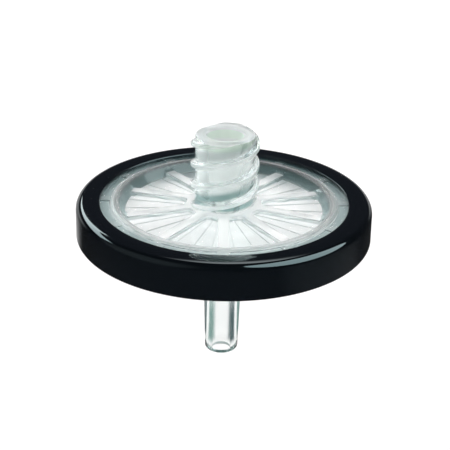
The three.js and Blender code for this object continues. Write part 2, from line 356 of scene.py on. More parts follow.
class Graph:
    """Adds and joins the nodes of one material, lamp or world."""

    def __init__(self, tree: bpy.types.NodeTree) -> None:
        """Starts from an emptied node tree."""
        self.tree = tree
        tree.nodes.clear()

    def add(self, kind: str, settings: dict | None = None, **inputs: object) -> bpy.types.Node:
        """Adds a node.

        Args:
            kind: The node's type name without its ShaderNode prefix.
            settings: Values of the node's own properties.
            inputs: Values or output sockets by input name, with _ for a space, or by number
                after a leading n.

        Returns:
            The new node.
        """
        node = self.tree.nodes.new("ShaderNode" + kind)
        for name, value in (settings or {}).items():
            setattr(node, name, value)
        for name, value in inputs.items():
            numbered = name[0] == "n" and name[1:].isdigit()
            socket = node.inputs[int(name[1:]) if numbered else name.replace("_", " ")]
            if isinstance(value, bpy.types.NodeSocket):
                self.tree.links.new(value, socket)
            elif isinstance(value, tuple) and len(value) == 3 and socket.type == "RGBA":
                socket.default_value = (*value, 1.0)
            else:
                socket.default_value = value
        return node

    def math(self, operation: str, *values: object) -> bpy.types.NodeSocket:
        """Adds a Math node.

        Args:
            operation: The Math node's operation.
            values: Its inputs, as numbers or output sockets.

        Returns:
            Its output socket.
        """
        inputs = {f"n{number}": value for number, value in enumerate(values)}
        return self.add("Math", {"operation": operation}, **inputs).outputs[0]

    def times(self, *values: object) -> bpy.types.NodeSocket:
        """Multiplies numbers or sockets."""
        return reduce(lambda one, other: self.math("MULTIPLY", one, other), values)

    def total(self, *values: object) -> bpy.types.NodeSocket:
        """Adds numbers or sockets up."""
        return reduce(lambda one, other: self.math("ADD", one, other), values)

    def most(self, *values: object) -> bpy.types.NodeSocket:
        """Keeps the largest of some numbers or sockets."""
        return reduce(lambda one, other: self.math("MAXIMUM", one, other), values)

    def rest(self, share: object) -> bpy.types.NodeSocket:
        """What a share leaves of 1."""
        return self.math("SUBTRACT", 1.0, share)

    def ramp(self, value: bpy.types.NodeSocket, start: float, end: float) -> bpy.types.NodeSocket:
        """Eases from 0 to 1 while a value goes from start to end.

        Args:
            value: The socket that is read.
            start: Where the output is 0.
            end: Where the output is 1.

        Returns:
            The eased value.
        """
        settings = {"interpolation_type": "SMOOTHSTEP"}
        eased = self.add("MapRange", settings, n0=value, n1=start, n2=end, n3=0.0, n4=1.0)
        return eased.outputs[0]

    def over(
        self, value: bpy.types.NodeSocket, stretch: Stretch, base: float = 0.0
    ) -> bpy.types.NodeSocket:
        """Eases from 0 to 1 over a stretch in millimetres.

        Args:
            value: The socket that is read, in metres.
            stretch: Where the output is 0 and where it is 1.
            base: Where the stretch is measured from.

        Returns:
            The eased value.
        """
        start, end = ((base + place) * MM for place in stretch)
        return self.ramp(value, start, end)

    def blend(self, share: object, low: object, high: object) -> bpy.types.NodeSocket:
        """Mixes two numbers.

        Args:
            share: How much of the second there is.
            low: The first number or socket.
            high: The second number or socket.

        Returns:
            The mixed value.
        """
        return self.add("Mix", {"data_type": "FLOAT"}, n0=share, n2=low, n3=high).outputs[0]

    def tone(self, share: object, low: Colour, high: Colour) -> bpy.types.NodeSocket:
        """Mixes two colours.

        Args:
            share: How much of the second there is.
            low: The first colour.
            high: The second colour.

        Returns:
            The mixed colour.
        """
        return self.add("Mix", {"data_type": "RGBA"}, n0=share, n6=low, n7=high).outputs[2]

    def lobe(self, way: bpy.types.NodeSocket, patch: Patch) -> bpy.types.NodeSocket:
        """Rises from 0 as a direction nears the middle of a patch.

        Args:
            way: The direction, of length 1.
            patch: The patch.

        Returns:
            The eased share, times the patch's strength.
        """
        aim = toward(patch.azimuth, patch.elevation)
        near = self.add("VectorMath", {"operation": "DOT_PRODUCT"}, n0=way, n1=aim)
        start, end = math.cos(math.radians(patch.edge)), math.cos(math.radians(patch.core))
        return self.times(self.ramp(near.outputs["Value"], start, end), patch.strength)

    def by_ray(
        self,
        whole: bpy.types.Node,
        mirrored: bpy.types.Node,
        through: bpy.types.Node,
        shown: bpy.types.Node,
    ) -> bpy.types.Node:
        """Gives three kinds of ray a look of their own.

        Args:
            whole: What every other ray meets.
            mirrored: What glossy plastic mirrors.
            through: What is seen through clear plastic.
            shown: What is seen directly.

        Returns:
            The node that chooses between them.
        """
        rays = self.add("LightPath").outputs
        for ray, look in (
            ("Is Glossy Ray", mirrored), ("Is Transmission Ray", through), ("Is Camera Ray", shown)
        ):
            whole = self.add("MixShader", n0=rays[ray], n1=whole.outputs[0], n2=look.outputs[0])
        return whole


def new_material(name: str) -> tuple[bpy.types.Material, Graph]:
    """Makes an empty material.

    Args:
        name: The material's name.

    Returns:
        The material and the graph of its nodes.
    """
    material = bpy.data.materials.new(name)
    material.use_nodes = True
    return material, Graph(material.node_tree)


@dataclass(frozen=True)
class TubeLook:
    """Where a threaded tube, and the ribs and bead round it, are frosted, and where painted shade
    and painted highlights go on them.

    Sizes are in millimetres. Each stretch runs from where a look starts to where it is full,
    measured from the height or the distance from the axis that its method names. The band
    beside the thread is the exception: its two stretches are shares of a turn.
    """

    bottom: float
    rim: float
    bore_reach: float
    crest_reach: float
    lead: float
    exit_angle: float
    rib_foot: float
    rib_reach: float
    bead_reach: float
    moat_reach: float
    tube_start: Stretch = (0.0, 0.5)
    bore_edge: Stretch = (0.2, 0.0)
    crest_edge: Stretch = (-0.3, 0.0)
    end_face: Stretch = (-0.15, -0.02)
    mouth_depth: Stretch = (-1.8, -1.0)
    mouth_lip: Stretch = (-0.1, -0.3)
    rib_top: Stretch = (0.0, 0.15)
    rib_end: Stretch = (0.1, 0.0)
    rib_fall: float = 0.3
    side_foot: Stretch = (-0.07, 0.03)
    side_top: Stretch = (0.3, 0.2)
    slope_foot: Stretch = (0.0, 0.1)
    slope_top: Stretch = (0.8, 0.7)
    bead_edge: Stretch = (-0.4, 0.0)
    moat_edge: Stretch = (-0.1, 0.0)
    upper_face: Stretch = (-0.5, -0.4)
    # Painted shade: the band beside the thread, the tube's foot and a share of the dip take a dark
    # teal colour.
    band_start: Stretch = (0.04, 0.16)
    band_end: Stretch = (0.42, 0.24)
    band_low: Stretch = (4.6, 2.2)
    band_high: Stretch = (5.2, 6.2)
    band_share: float = 0.2
    band_high_share: float = 0.45
    painted_foot_shade: Stretch = (1.7, 0.8)
    dip_shade_share: float = 0.3

    def reach(self, graph: Graph, axes: object) -> bpy.types.NodeSocket:
        """Distance of each place from the axis."""
        squares = [graph.math("POWER", axes[side], 2.0) for side in (0, 1)]
        return graph.math("SQRT", graph.total(*squares))

    def above(self, graph: Graph, axes: object) -> bpy.types.NodeSocket:
        """1 on the tube and 0 on the disc below it."""
        return graph.over(axes[2], self.tube_start, self.bottom)

    def bore(self, graph: Graph, axes: object) -> bpy.types.NodeSocket:
        """1 in the bore."""
        return graph.over(self.reach(graph, axes), self.bore_edge, self.bore_reach)

    def mouth(self, graph: Graph, axes: object) -> bpy.types.NodeSocket:
        """1 in the bore's mouth, just below its lip.

        Args:
            graph: The material's nodes.
            axes: The sockets of each place's x, y and z.

        Returns:
            The eased share.
        """
        lip = graph.over(axes[2], self.mouth_lip, self.rim)
        depth = graph.over(axes[2], self.mouth_depth, self.rim)
        return graph.times(depth, self.bore(graph, axes), lip)

    def crest(self, graph: Graph, axes: object) -> bpy.types.NodeSocket:
        """1 on the crests of the thread and on the rim's end face.

        Args:
            graph: The material's nodes.
            axes: The sockets of each place's x, y and z.

        Returns:
            The eased share.
        """
        edge = graph.over(self.reach(graph, axes), self.crest_edge, self.crest_reach)
        end = graph.over(axes[2], self.end_face, self.rim)
        return graph.times(self.above(graph, axes), graph.most(edge, end))

    def rib(self, graph: Graph, axes: object) -> bpy.types.NodeSocket:
        """1 on the tops of the ribs round the tube.

        Args:
            graph: The material's nodes.
            axes: The sockets of each place's x, y and z.

        Returns:
            The eased share.
        """
        high = graph.over(axes[2], self.rib_top, self.rib_foot)
        inside = graph.over(self.reach(graph, axes), self.rib_end, self.rib_reach)
        return graph.times(high, inside, graph.rest(self.above(graph, axes)))

    def bead(self, graph: Graph, axes: object) -> bpy.types.NodeSocket:
        """1 from the bead outwards."""
        return graph.over(self.reach(graph, axes), self.bead_edge, self.bead_reach)

    def dip(self, graph: Graph, axes: object) -> bpy.types.NodeSocket:
        """1 on the sides of the ribs, on the slope up to the bead and in the moat.

        Args:
            graph: The material's nodes.
            axes: The sockets of each place's x, y and z.

        Returns:
            The eased share, which is 0 on the tube and in the chamber.
        """
        reach = self.reach(graph, axes)
        rise = graph.math("MULTIPLY_ADD", reach, self.rib_fall / self.rib_reach, axes[2])
        side = graph.times(
            graph.over(rise, self.side_foot, self.rib_foot),
            graph.over(rise, self.side_top, self.rib_foot),
        )
        slope = graph.over(reach, self.slope_foot, self.rib_reach)
        inside = graph.over(reach, self.slope_top, self.rib_reach)
        moat = graph.over(reach, self.moat_edge, self.moat_reach)
        either = graph.most(graph.times(side, inside), moat, graph.times(inside, slope))
        upper = graph.over(axes[2], self.upper_face, self.rib_foot)
        return graph.times(either, graph.rest(self.above(graph, axes)), upper)

    def painted_shade(self, graph: Graph, axes: object) -> bpy.types.NodeSocket:
        """Where painted shade goes: up to 1 at the foot, and in a band that winds beside the thread.

        Args:
            graph: The material's nodes.
            axes: The sockets of each place's x, y and z.

        Returns:
            The eased share, which also takes in a little of the dip.
        """
        turns = graph.math("DIVIDE", graph.math("ARCTAN2", axes[1], axes[0]), TURN)
        shift = self.exit_angle / 360 - self.rim / self.lead
        climb = graph.math("MULTIPLY_ADD", axes[2], 1 / (self.lead * MM), shift)
        phase = graph.math("FRACT", graph.math("SUBTRACT", climb, turns))
        band = graph.times(graph.ramp(phase, *self.band_start), graph.ramp(phase, *self.band_end))
        upper = graph.over(axes[2], self.band_high, self.bottom)
        upper = graph.math("MULTIPLY_ADD", upper, self.band_high_share, self.band_share)
        depth = graph.most(graph.over(axes[2], self.band_low, self.bottom), upper)
        foot = graph.over(axes[2], self.painted_foot_shade, self.bottom)
        outside = graph.rest(self.bore(graph, axes))
        band = graph.times(graph.most(graph.times(band, depth), foot), outside)
        band = graph.times(band, self.above(graph, axes))
        return graph.most(band, graph.times(self.dip(graph, axes), self.dip_shade_share))


@dataclass(frozen=True)
class ClearPlastic:
    """Clear moulded plastic, faintly milky, with a green-grey tint in its depth."""

    name: str
    gloss_low: float
    gloss_high: float
    matte_start: float
    matte_full: float
    tube: TubeLook | None = None
    milk: float = 0.0
    chamber_milk: float = 0.0
    # The milk on the thread's crests and the ribs' tops whitens them as painted highlights.
    crest_highlight_milk: float = 0.18
    rib_highlight_milk: float = 0.3
    # The dip's milk and its dark teal haze are painted shade.
    dip_shade_milk: float = 0.3
    matte: float = 0.8
    tube_gloss: float = 0.18
    crest_gloss: float = 0.3
    clearness: float = 0.98
    skin: Colour = (0.995, 1.0, 0.998)
    bore_skin: Colour = (0.99, 1.0, 0.985)
    # Dark teal painted shade colour for the thread's band, the tube's foot, the dip, the bead and
    # the tip's end.
    painted_shade_skin: Colour = (0.085, 0.165, 0.16)
    bore_milk: float = 0.4
    haze: Colour = (0.87, 0.955, 0.945)
    bore_haze: Colour = (0.66, 0.96, 0.69)
    dip_shade_haze: Colour = (0.38, 0.60, 0.60)
    glint: Colour = (0.90, 0.99, 1.0)
    index: float = 1.5
    tint: Colour = (0.28, 0.66, 0.61)
    tint_density: float = 30.0
    # Height over which the tip's end is painted darker, as shade; 0 for none.
    lip: float = 0.0
    # Share of painted shade on the bead.
    bead_shade_share: float = 0.5
    flow_scale: float = 420.0
    flow_depth: float = 0.000004
    lamp_pass: Colour = (0.985, 0.99, 0.988)

    def finish(self, graph: Graph, place: object, flow: object) -> tuple[object, ...]:
        """Polished outside, matte in the chamber, with painted shade at a lip, and frosted along a
        tube, where shade and highlights are painted too.

        Args:
            graph: The material's nodes.
            place: The socket of places on the piece.
            flow: The socket of the flow pattern.

        Returns:
            The roughness, the colour, the milky share and the milk's colour.
        """
        axes = graph.add("SeparateXYZ", Vector=place).outputs
        chamber = graph.over(axes[2], (self.matte_start, self.matte_full))
        rough = graph.blend(flow, self.gloss_low, self.gloss_high)
        milk = graph.blend(chamber, self.milk, self.chamber_milk)
        colour, haze = self.skin, self.haze
        # Painted shade: the tip's end takes the dark colour.
        if self.lip:
            end = graph.over(axes[2], (self.lip, self.lip / 2))
            colour = graph.tone(end, self.skin, self.painted_shade_skin)
        if self.tube:
            rough, colour, milk, haze = self.round_tube(graph, axes, rough, milk)
        return graph.blend(chamber, rough, self.matte), colour, milk, haze

    def round_tube(
        self, graph: Graph, axes: object, rough: object, milk: object
    ) -> tuple[object, ...]:
        """Frosts the tube, paints shade on the band beside its thread, the ribs' sides and the bead,
        and paints highlights as milk on the crests and rib tops.

        Args:
            graph: The material's nodes.
            axes: The sockets of each place's x, y and z.
            rough: The roughness elsewhere.
            milk: The milky share elsewhere.

        Returns:
            The roughness, the colour, the milky share and the milk's colour.
        """
        look = self.tube
        bore, crest, mouth = look.bore(graph, axes), look.crest(graph, axes), look.mouth(graph, axes)
        dip, bead = look.dip(graph, axes), look.bead(graph, axes)
        rough = graph.blend(look.above(graph, axes), rough, self.tube_gloss)
        rough = graph.blend(crest, rough, self.crest_gloss)
        rough = graph.blend(bore, rough, self.matte)
        painted_shade = graph.times(look.painted_shade(graph, axes), graph.rest(crest))
        milk = graph.times(milk, graph.rest(painted_shade), graph.rest(bead))
        # Milk here paints highlights on the rib tops and crests, and shade on the dip.
        for share, amount in (
            (dip, self.dip_shade_milk),
            (look.rib(graph, axes), self.rib_highlight_milk),
            (crest, self.crest_highlight_milk),
            (mouth, self.bore_milk),
        ):
            milk = graph.blend(share, milk, amount)
        # Painted shade on the band, the foot, the dip and the bead.
        painted_dark = graph.most(painted_shade, graph.times(bead, graph.rest(dip), self.bead_shade_share))
        colour = graph.tone(painted_dark, self.skin, self.painted_shade_skin)
        colour = graph.tone(bore, colour, self.bore_skin)
        # The dip's haze is dark teal painted shade.
        haze = graph.tone(dip, self.haze, self.dip_shade_haze)
        return rough, colour, milk, graph.tone(mouth, haze, self.bore_haze)

    def material(self) -> bpy.types.Material:
        """Builds the material, whose surface lets lamplight through to what it covers.

        Returns:
            The material.
        """
        material, graph = new_material(self.name)
        place = graph.add("TexCoord").outputs["Object"]
        flow = graph.add("TexNoise", Vector=place, Scale=self.flow_scale, Detail=2.0)
        wave = graph.add("Bump", Height=flow.outputs[0], Strength=1.0, Distance=self.flow_depth)
        rough, colour, milk, veil = self.finish(graph, place, flow.outputs[0])
        body = graph.add(
            "BsdfPrincipled",
            Base_Color=colour,
            Roughness=rough,
            IOR=self.index,
            Specular_Tint=self.glint,
            Transmission_Weight=self.clearness,
            Normal=wave.outputs[0],
        )
        haze = graph.add("BsdfDiffuse", Color=veil)
        surface = graph.add("MixShader", n0=milk, n1=body.outputs[0], n2=haze.outputs[0])
        through = graph.add("BsdfTransparent", Color=self.lamp_pass).outputs[0]
        rays = graph.add("LightPath").outputs
        lit = graph.add("MixShader", n0=rays["Is Shadow Ray"], n1=surface.outputs[0], n2=through)
        shown = graph.add("MixShader", n0=rays["Is Diffuse Ray"], n1=lit.outputs[0], n2=through)
        depth = graph.add("VolumeAbsorption", Color=self.tint, Density=self.tint_density)
        graph.add("OutputMaterial", Surface=shown.outputs[0], Volume=depth.outputs[0])
        return material


@dataclass(frozen=True)
class MembraneSheet:
    """A white microporous sheet that lets some light through, with a fine pore texture."""

    white: Colour = (0.88, 0.94, 0.93)
    shade: Colour = (0.81, 0.88, 0.87)
    pore_scale: float = 9000.0
    cloud_scale: float = 260.0
    pore_depth: float = 0.000012
    roughness: float = 0.6
    index: float = 1.2
    see_through: float = 0.3

    def material(self) -> bpy.types.Material:
        """Builds the material.

        Returns:
            The material.
        """
        material, graph = new_material("microporous membrane")
        place = graph.add("TexCoord").outputs["Object"]
        clouds = graph.add("TexNoise", Vector=place, Scale=self.cloud_scale, Detail=4.0)
        pores = graph.add("TexNoise", Vector=place, Scale=self.pore_scale, Detail=2.0)
        colour = graph.tone(clouds.outputs[0], self.shade, self.white)
        grain = graph.add("Bump", Height=pores.outputs[0], Strength=0.6, Distance=self.pore_depth)
        surface = graph.add(
            "BsdfPrincipled",
            Base_Color=colour,
            Roughness=self.roughness,
            IOR=self.index,
            Transmission_Weight=self.see_through,
            Normal=grain.outputs[0],
        )
        graph.add("OutputMaterial", Surface=surface.outputs[0])
        return material


@dataclass(frozen=True)
class BlackPlastic:
    """Glossy black moulded plastic with a faint flow pattern in its shine."""

    colour: Colour = (0.004, 0.006, 0.009)
    gloss_low: float = 0.03
    gloss_high: float = 0.07
    specular: float = 0.6
    glint: Colour = (0.72, 0.95, 1.0)
    flow_scale: float = 300.0
    flow_depth: float = 0.000002

    def material(self) -> bpy.types.Material:
        """Builds the material.

        Returns:
            The material.
        """
        material, graph = new_material("glossy black plastic")
        place = graph.add("TexCoord").outputs["Object"]
        flow = graph.add("TexNoise", Vector=place, Scale=self.flow_scale, Detail=3.0)
        wave = graph.add("Bump", Height=flow.outputs[0], Strength=1.0, Distance=self.flow_depth)
        surface = graph.add(
            "BsdfPrincipled",
            Base_Color=self.colour,
            Roughness=graph.blend(flow.outputs[0], self.gloss_low, self.gloss_high),
            Specular_IOR_Level=self.specular,
            Specular_Tint=self.glint,
            Normal=wave.outputs[0],
        )
        graph.add("OutputMaterial", Surface=surface.outputs[0])
        return material


# ---- The disc's shared sizes ----


@dataclass(frozen=True)
class DiscSizes:
    """Radii and heights that the shells, the ring and the membrane share."""

    ring_radius: float = 17.1
    ring_bottom: float = 15.95
    ring_top: float = 20.0
    ring_width: float = 2.75
    ring_wall: float = 1.45
    lower_lip: float = 0.9
    upper_lip: float = 1.0
    moat_width: float = 1.1
    bead_width: float = 1.05
    window_edge: float = 0.75
    hub_radius: float = 4.3

    @property
    def lip_radius(self) -> float:
        """Inner edge of the ring's lips."""
        return self.ring_radius - self.ring_width

    @property
    def cavity_radius(self) -> float:
        """Outer wall of the space that grips the shells."""
        return self.ring_radius - self.ring_wall

    @property
    def bead_outer(self) -> float:
        """Outer foot of the bead."""
        return self.lip_radius - self.moat_width

    @property
    def bead_inner(self) -> float:
        """Inner foot of the bead."""
        return self.bead_outer - self.bead_width

    @property
    def bead_middle(self) -> float:
        """Crown line of the bead."""
        return (self.bead_inner + self.bead_outer) / 2

    @property
    def window_rim(self) -> float:
        """Outer edge of the windows."""
        return self.bead_inner - self.window_edge


def disc_from_frame() -> DiscSizes:
    """Reads the ring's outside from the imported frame.

    Returns:
        The shared sizes, with the ring's radius and heights as packed.
    """
    low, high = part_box("overmoulded_ring")
    foot_draft = 0.08
    return DiscSizes(
        ring_radius=high[0] / MM - foot_draft,
        ring_bottom=low[2] / MM,
        ring_top=high[2] / MM,
    )


@dataclass(frozen=True)
class Relief:
    """Ribs, bead and moat on one shell, with heights measured outwards from its chamber.

    The ribs' root is a share of the window's thickness, and a core stays in the hub's hole.
    """

    disc: DiscSizes
    depth: float
    window: float
    rise: float
    rib_height: float
    rib_width: float = 1.2
    rib_count: int = 10
    rib_ease: float = 0.1
    rib_root: float = 0.6
    bead_overlap: float = 0.3
    bead_cover: float = 0.05
    hub_corner: float = 0.6
    hub_hole: float = 2.7
    hub_core: float = 0.5
    recess: float = 0.1
    crown: float = 0.12
    moat_depth: float = 0.42
    bridge_count: int = 12
    bridge_width: float = 1.4
    bridge_root: float = 0.3
    bead_ease: float = 0.14

    @property
    def shoulder(self) -> float:
        """Height of the bead's edges."""
        return self.depth - self.recess - self.crown

    @property
    def moat_floor(self) -> float:
        """Height of the moat's floor."""
        return self.depth - self.moat_depth

    @property
    def hub_top(self) -> float:
        """Height of the ribs where they meet at the hub."""
        return self.window + self.rise + self.rib_height

    def face_corners(self) -> list[Corner]:
        """Draws the shell's outer face from the ring's lip in to the windows.

        Returns:
            The outline's corners.
        """
        disc = self.disc
        return [
            Corner(disc.lip_radius + CONTACT, self.moat_floor),
            Corner(disc.bead_outer, self.moat_floor, self.bead_ease),
            Corner(disc.bead_outer, self.shoulder, self.bead_ease),
            Corner(disc.bead_middle, self.depth - self.recess, self.bead_ease * 2),
            Corner(disc.bead_inner, self.shoulder, self.bead_ease),
            Corner(disc.window_rim, self.window, self.bead_ease),
        ]

    def pockets(self) -> bpy.types.Object:
        """Makes the spaces between the ribs, as one tool to cut with.

        Returns:
            The tool.
        """
        half_pitch = math.pi / self.rib_count
        near, far = self.disc.hub_radius, self.disc.ring_radius

        # The block is drawn 1 mm wide, so that what it is scaled by is its width.
        tool = block("pocket", Vector((near, -0.5, -self.depth)), Vector((far, 0.5, 2 * self.depth)))
        for reach in (near, far):
            width = (2 * reach * math.sin(half_pitch) - self.rib_width) / math.cos(half_pitch)
            pick(Element.VERTEX, lambda vert: abs(vert.co.x - reach) < MERGE)
            bpy.ops.transform.resize(value=(1, width, 1), center_override=(0, 0, 0))
        inner_edge = near + MERGE
        corner_reach = self.hub_corner / math.tan((math.pi / 2 + half_pitch) / 2)
        ease_edges(
            lambda edge: all(vert.co.x < inner_edge for vert in edge.verts)
            and abs(edge.verts[0].co.z - edge.verts[1].co.z) > self.depth,
            corner_reach,
            segments=8,
        )
        mend_skin()
        copy_round(tool, self.rib_count)
        return tool

    def rib_star(self) -> bpy.types.Object:
        """Makes the hub and the ribs, whose tops run in flat facets up to the bead.

        Returns:
            The star, in object mode.
        """
        disc = self.disc
        half_pitch = math.pi / self.rib_count
        outer = disc.bead_inner + self.bead_overlap
        bead_end = self.shoulder - self.bead_cover
        foot = self.window * self.rib_root
        clear_selection()
        bpy.ops.mesh.primitive_cylinder_add(
            vertices=self.rib_count, radius=outer / math.cos(half_pitch), depth=bead_end - foot
        )
        star = bpy.context.object
        star.name = "rib star"
        bpy.ops.object.mode_set(mode="EDIT")
        bpy.ops.transform.translate(value=(0, 0, (bead_end + foot) / 2))
        pick(Element.FACE, lambda face: face.normal.z > 0.9)
        bpy.ops.mesh.inset(thickness=outer - disc.bead_inner)
        bpy.ops.mesh.inset(thickness=disc.bead_inner - disc.window_rim)
        rim_top = self.window + self.rib_height
        bpy.ops.transform.translate(value=(0, 0, rim_top - bead_end))
        bpy.ops.mesh.inset(thickness=disc.window_rim - disc.hub_radius)
        bpy.ops.transform.translate(value=(0, 0, self.hub_top - rim_top))
        mend_skin()
        bpy.ops.object.mode_set(mode="OBJECT")
        face_angle(star, math.degrees(half_pitch))
        work(star, self.pockets(), "DIFFERENCE")
        hole = [
            Corner(self.hub_core, -self.depth),
            Corner(self.hub_hole, -self.depth),
            Corner(self.hub_hole, 2 * self.depth),
            Corner(self.hub_core, 2 * self.depth),
        ]
        work(star, turned("hub hole", hole, HOLE_STEPS), "DIFFERENCE")
        bpy.ops.object.mode_set(mode="EDIT")
        mend_skin()

        def is_top_edge(edge: bmesh.types.BMEdge) -> bool:
            """Finds the long edges between a rib's top and its sides.

            Args:
                edge: An edge of the star.

            Returns:
                Whether it is one.
            """
            tops = [face.normal.z > 0.8 for face in edge.link_faces]
            sides = [abs(face.normal.z) < 0.1 for face in edge.link_faces]
            middle = (edge.verts[0].co + edge.verts[1].co) / 2
            across = math.hypot(middle.x, middle.y)
            return any(tops) and any(sides) and self.hub_hole + 0.2 < across < outer - 0.1

        ease_edges(is_top_edge, self.rib_ease, segments=3)
        bpy.ops.object.mode_set(mode="OBJECT")
        return star

    def bridges(self) -> bpy.types.Object:
        """Makes the bars across the moat.

        Returns:
            The bars as one mesh, in object mode.
        """
        disc = self.disc
        half = self.bridge_width / 2
        top = (self.shoulder + self.moat_floor) / 2
        bar = block(
            "bridge",
            Vector((disc.bead_middle, -half, self.moat_floor - self.bridge_root)),
            Vector((disc.lip_radius + CONTACT / 2, half, top)),
        )
        ease_edges(
            lambda edge: all(vert.co.z > top - MERGE for vert in edge.verts)
            and abs(edge.verts[0].co.y - edge.verts[1].co.y) < MERGE,
            self.rib_ease,
            segments=3,
        )
        copy_round(bar, self.bridge_count)
        face_angle(bar, 90)
        return bar


def lift(piece: bpy.types.Object, height: float, side: int) -> None:
    """Sets a relief that was drawn outwards from height zero onto its chamber face.

    Args:
        piece: The relief.
        height: The chamber face's height.
        side: 1 where outwards is up, and -1 where it is down.
    """
    take_up(piece)
    bpy.ops.object.mode_set(mode="EDIT")
    bpy.ops.mesh.select_all(action="SELECT")
    bpy.ops.transform.resize(value=(1, 1, side), center_override=(0, 0, 0))
    bpy.ops.transform.translate(value=(0, 0, height))
    bpy.ops.mesh.normals_make_consistent(inside=False)
    bpy.ops.object.mode_set(mode="OBJECT")


def add_relief(shell: bpy.types.Object, relief: Relief, chamber: float, side: int) -> None:
    """Joins a relief's ribs and bars to a shell.

    Args:
        shell: The shell that they are joined to.
        relief: The relief.
        chamber: The chamber face's height.
        side: 1 where outwards is up, and -1 where it is down.
    """
    star, bars = relief.rib_star(), relief.bridges()
    for addition in (star, bars):
        lift(addition, chamber, side)
        work(shell, addition, "UNION")


@dataclass(frozen=True)
class FlowRibs:
    """Thin radial ribs on a chamber face that hold the membrane off it.

    They are rooted in that face and in the chamber's wall, and stop just short of the tip's
    height.
    """

    count: int
    first_angle: float
    inner: float
    wall: float
    face: float
    tip: float
    width: float = 0.4
    wall_root: float = 0.2
    face_root: float = 0.12
    tip_gap: float = 0.01

    def build(self) -> bpy.types.Object:
        """Makes the ribs.

        Returns:
            The ribs as one mesh, in object mode.
        """
        half = self.width / 2
        away = math.copysign(1, self.face - self.tip)
        ends = (self.tip + away * self.tip_gap, self.face + away * self.face_root)
        rib = block(
            "flow rib",
            Vector((self.inner, -half, min(ends))),
            Vector((self.wall + self.wall_root, half, max(ends))),
        )
        ease_edges(
            lambda edge: abs(edge.verts[0].co.x - edge.verts[1].co.x) > self.width,
            self.width / 5,
        )
        copy_round(rib, self.count)
        face_angle(rib, self.first_angle)
        return rib


# ---- The four pieces ----


